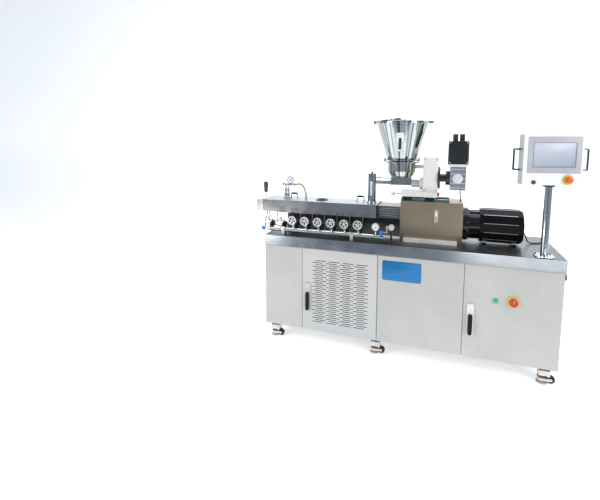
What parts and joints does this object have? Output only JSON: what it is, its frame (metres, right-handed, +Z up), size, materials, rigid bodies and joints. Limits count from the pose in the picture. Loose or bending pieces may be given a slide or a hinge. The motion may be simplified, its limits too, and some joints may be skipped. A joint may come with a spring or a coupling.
{
  "type": "twin screw extruder",
  "caption": "Laboratory compounding extruder on a cabinet bench, with intermeshing screws, volumetric feeder, water cooled barrel and swivelling operator panel.",
  "frame": {"origin": "centre of the machine's bounding box in plan, at the underside of the levelling pads", "axes": "+X along the machine from the die to the operator panel, +Y from the operator's side to the back, +Z up"},
  "size_m": [2.2044, 0.6216, 1.684],
  "materials": {
    "frame_paint": "semi-gloss light grey paint on welded steel tube",
    "cabinet_paint": "smooth off-white powder coat",
    "white_paint": "white powder coat",
    "panel_paint": "light grey powder coat",
    "black_paint": "black motor paint",
    "stainless": "brushed stainless sheet",
    "polished_steel": "bright polished stainless",
    "machined_steel": "machined steel",
    "barrel_steel": "dark nitrided steel",
    "screw_steel": "ground tool steel",
    "cast_aluminium": "cast and machined aluminium",
    "bronze_sheet": "bronze coloured brushed sheet",
    "valve_brass": "brass bodies with black coils",
    "cast_handwheel": "bright cast handwheel",
    "black_plastic": "black moulded plastic",
    "red_plastic": "red moulded plastic",
    "blue_plastic": "blue dipped lever",
    "caster_housing": "off-white moulded housing",
    "wheel_rubber": "black tyre",
    "cable_rubber": "black cable sheath"
  },
  "bodies": {
    "base": {"cabinet_frame": "frame_paint", "panels_and_hinges": "cabinet_paint", "worktop": "stainless", "gearbox_case": "cast_aluminium", "gearbox_cover": "bronze_sheet", "bell_housing": "cast_aluminium", "main_motor": "black_paint", "lantern": "barrel_steel", "barrel": "barrel_steel", "barrel_cover": "stainless", "die_head": "machined_steel", "vent_unit": "polished_steel", "cooling_manifold": "polished_steel", "valve_blocks": "valve_brass", "feeder_rails": "machined_steel", "feed_chute": "stainless", "panel_post": "polished_steel", "service_cables": "cable_rubber", "feeder_cable": "cable_rubber"},
    "vented_door": {"vented_door": "cabinet_paint"},
    "vented_door_lever": {"vented_door_lever": "black_plastic"},
    "right_door": {"right_door": "cabinet_paint"},
    "right_door_lever": {"right_door_lever": "black_plastic"},
    "isolator": {"isolator_knob": "red_plastic"},
    "drive": {"drive_coupling": "machined_steel"},
    "front_screw": {"front_screw": "screw_steel"},
    "rear_screw": {"rear_screw": "screw_steel"},
    "ball_valve_lever": {"ball_valve_lever": "blue_plastic"},
    "feeder": {"feeder_base": "white_paint", "feeder_drive_box": "white_paint", "feeder_motor": "black_paint", "feeder_trough": "polished_steel", "hopper": "polished_steel"},
    "lock_knob": {"feeder_lock_knob": "red_plastic"},
    "auger": {"feed_auger": "polished_steel"},
    "agitator": {"agitator": "polished_steel"},
    "lid": {"hopper_lid": "polished_steel"},
    "panel": {"panel_box": "panel_paint"},
    "stop_button": {"stop_button": "red_plastic"},
    "emergency_stop": {"emergency_stop": "red_plastic"},
    "caster_1": {"caster_housing_1": "caster_housing"},
    "wheel_1": {"caster_wheel_1": "wheel_rubber"},
    "caster_2": {"caster_housing_2": "caster_housing"},
    "wheel_2": {"caster_wheel_2": "wheel_rubber"},
    "caster_3": {"caster_housing_3": "caster_housing"},
    "wheel_3": {"caster_wheel_3": "wheel_rubber"},
    "caster_4": {"caster_housing_4": "caster_housing"},
    "wheel_4": {"caster_wheel_4": "wheel_rubber"},
    "caster_5": {"caster_housing_5": "caster_housing"},
    "wheel_5": {"caster_wheel_5": "wheel_rubber"},
    "caster_6": {"caster_housing_6": "caster_housing"},
    "wheel_6": {"caster_wheel_6": "wheel_rubber"},
    "handwheel_1": {"handwheel_1": "cast_handwheel"},
    "handwheel_2": {"handwheel_2": "cast_handwheel"},
    "handwheel_3": {"handwheel_3": "cast_handwheel"},
    "handwheel_4": {"handwheel_4": "cast_handwheel"},
    "handwheel_5": {"handwheel_5": "cast_handwheel"},
    "handwheel_6": {"handwheel_6": "cast_handwheel"},
    "handwheel_7": {"handwheel_7": "cast_handwheel"},
    "handwheel_8": {"handwheel_8": "cast_handwheel"}
  },
  "joints": [
    {"name": "vented_door_swing", "type": "hinge", "parent": "base", "child": "vented_door", "pos_m": [-0.10404, -0.27219, 0.43], "axis": [0, 0, 1], "range_deg": [0, 95]},
    {"name": "right_door_swing", "type": "hinge", "parent": "base", "child": "right_door", "pos_m": [1.00679, -0.27219, 0.43], "axis": [0, 0, 1], "range_deg": [0, 95]},
    {"name": "vented_door_latch", "type": "hinge", "parent": "vented_door", "child": "vented_door_lever", "pos_m": [-0.60471, -0.28019, 0.402], "axis": [0, -1, 0], "range_deg": [0, 90]},
    {"name": "right_door_latch", "type": "hinge", "parent": "right_door", "child": "right_door_lever", "pos_m": [0.50462, -0.28019, 0.402], "axis": [0, -1, 0], "range_deg": [0, 90]},
    {"name": "isolator_turn", "type": "hinge", "parent": "right_door", "child": "isolator", "pos_m": [0.74762, -0.28019, 0.525], "axis": [0, -1, 0], "range_deg": [0, 90]},
    {"name": "caster_1_swivel", "type": "hinge", "parent": "base", "child": "caster_1", "pos_m": [-0.88921, -0.21119, 0.1], "axis": [0, 0, 1], "continuous": true},
    {"name": "caster_1_roll", "type": "hinge", "parent": "caster_1", "child": "wheel_1", "pos_m": [-0.84921, -0.21119, 0.027], "axis": [0, 1, 0], "continuous": true},
    {"name": "caster_2_swivel", "type": "hinge", "parent": "base", "child": "caster_2", "pos_m": [-0.10721, -0.21119, 0.1], "axis": [0, 0, 1], "continuous": true},
    {"name": "caster_2_roll", "type": "hinge", "parent": "caster_2", "child": "wheel_2", "pos_m": [-0.06721, -0.21119, 0.027], "axis": [0, 1, 0], "continuous": true},
    {"name": "caster_3_swivel", "type": "hinge", "parent": "base", "child": "caster_3", "pos_m": [0.95279, -0.21119, 0.1], "axis": [0, 0, 1], "continuous": true},
    {"name": "caster_3_roll", "type": "hinge", "parent": "caster_3", "child": "wheel_3", "pos_m": [0.99279, -0.21119, 0.027], "axis": [0, 1, 0], "continuous": true},
    {"name": "caster_4_swivel", "type": "hinge", "parent": "base", "child": "caster_4", "pos_m": [-0.88921, 0.25431, 0.1], "axis": [0, 0, 1], "continuous": true},
    {"name": "caster_4_roll", "type": "hinge", "parent": "caster_4", "child": "wheel_4", "pos_m": [-0.84921, 0.25431, 0.027], "axis": [0, 1, 0], "continuous": true},
    {"name": "caster_5_swivel", "type": "hinge", "parent": "base", "child": "caster_5", "pos_m": [-0.10721, 0.25431, 0.1], "axis": [0, 0, 1], "continuous": true},
    {"name": "caster_5_roll", "type": "hinge", "parent": "caster_5", "child": "wheel_5", "pos_m": [-0.06721, 0.25431, 0.027], "axis": [0, 1, 0], "continuous": true},
    {"name": "caster_6_swivel", "type": "hinge", "parent": "base", "child": "caster_6", "pos_m": [0.95279, 0.25431, 0.1], "axis": [0, 0, 1], "continuous": true},
    {"name": "caster_6_roll", "type": "hinge", "parent": "caster_6", "child": "wheel_6", "pos_m": [0.99279, 0.25431, 0.027], "axis": [0, 1, 0], "continuous": true},
    {"name": "drive_turn", "type": "hinge", "parent": "base", "child": "drive", "pos_m": [0.49779, 0.01081, 0.946], "axis": [1, 0, 0], "continuous": true},
    {"name": "front_screw_turn", "type": "hinge", "parent": "base", "child": "front_screw", "pos_m": [-0.60221, 0.00161, 1.01], "axis": [1, 0, 0], "continuous": true},
    {"name": "rear_screw_turn", "type": "hinge", "parent": "base", "child": "rear_screw", "pos_m": [-0.60221, 0.02, 1.01], "axis": [1, 0, 0], "continuous": true},
    {"name": "valve_1_turn", "type": "hinge", "parent": "base", "child": "handwheel_1", "pos_m": [-0.93921, -0.24419, 0.935], "axis": [0, -1, 0], "range_deg": [0, 1080]},
    {"name": "valve_2_turn", "type": "hinge", "parent": "base", "child": "handwheel_2", "pos_m": [-0.84021, -0.24419, 0.935], "axis": [0, -1, 0], "range_deg": [0, 1080]},
    {"name": "valve_3_turn", "type": "hinge", "parent": "base", "child": "handwheel_3", "pos_m": [-0.74121, -0.24419, 0.935], "axis": [0, -1, 0], "range_deg": [0, 1080]},
    {"name": "valve_4_turn", "type": "hinge", "parent": "base", "child": "handwheel_4", "pos_m": [-0.64221, -0.24419, 0.935], "axis": [0, -1, 0], "range_deg": [0, 1080]},
    {"name": "valve_5_turn", "type": "hinge", "parent": "base", "child": "handwheel_5", "pos_m": [-0.54321, -0.24419, 0.935], "axis": [0, -1, 0], "range_deg": [0, 1080]},
    {"name": "valve_6_turn", "type": "hinge", "parent": "base", "child": "handwheel_6", "pos_m": [-0.44421, -0.24419, 0.935], "axis": [0, -1, 0], "range_deg": [0, 1080]},
    {"name": "valve_7_turn", "type": "hinge", "parent": "base", "child": "handwheel_7", "pos_m": [-0.34521, -0.24419, 0.935], "axis": [0, -1, 0], "range_deg": [0, 1080]},
    {"name": "valve_8_turn", "type": "hinge", "parent": "base", "child": "handwheel_8", "pos_m": [-0.24621, -0.24419, 0.935], "axis": [0, -1, 0], "range_deg": [0, 1080]},
    {"name": "ball_valve_turn", "type": "hinge", "parent": "base", "child": "ball_valve_lever", "pos_m": [-0.08121, -0.24419, 0.888], "axis": [0, -1, 0], "range_deg": [0, 90]},
    {"name": "feeder_slide", "type": "slide", "parent": "base", "child": "feeder", "axis": [1, 0, 0], "range_m": [0, 0.085], "deforming": ["feeder_cable"]},
    {"name": "lock_knob_turn", "type": "hinge", "parent": "feeder", "child": "lock_knob", "pos_m": [0.27379, -0.05519, 1.152], "axis": [1, 0, 0], "range_deg": [0, 720]},
    {"name": "auger_turn", "type": "hinge", "parent": "feeder", "child": "auger", "pos_m": [0.04779, 0.01081, 1.218], "axis": [1, 0, 0], "continuous": true},
    {"name": "agitator_turn", "type": "hinge", "parent": "feeder", "child": "agitator", "pos_m": [0.04779, 0.01081, 1.338], "axis": [1, 0, 0], "continuous": true},
    {"name": "lid_swing", "type": "hinge", "parent": "feeder", "child": "lid", "pos_m": [-0.17921, 0.01081, 1.666], "axis": [0, -1, 0], "range_deg": [-5, 95]},
    {"name": "panel_swivel", "type": "hinge", "parent": "base", "child": "panel", "pos_m": [0.90679, -0.22519, 1.27], "axis": [0, 0, 1], "range_deg": [-60, 60]},
    {"name": "stop_button_press", "type": "slide", "parent": "panel", "child": "stop_button", "axis": [-0.1495, 0.9888, 0], "range_m": [0, 0.002], "stiffness_N_per_m": 200},
    {"name": "emergency_stop_press", "type": "slide", "parent": "panel", "child": "emergency_stop", "axis": [-0.1495, 0.9888, 0], "range_m": [0, 0.005]}
  ],
  "couplings": [
    {"joint": "front_screw_turn", "follows": "drive_turn", "ratio": 0.4},
    {"joint": "rear_screw_turn", "follows": "drive_turn", "ratio": 0.4},
    {"joint": "agitator_turn", "follows": "auger_turn", "ratio": -0.25}
  ]
}
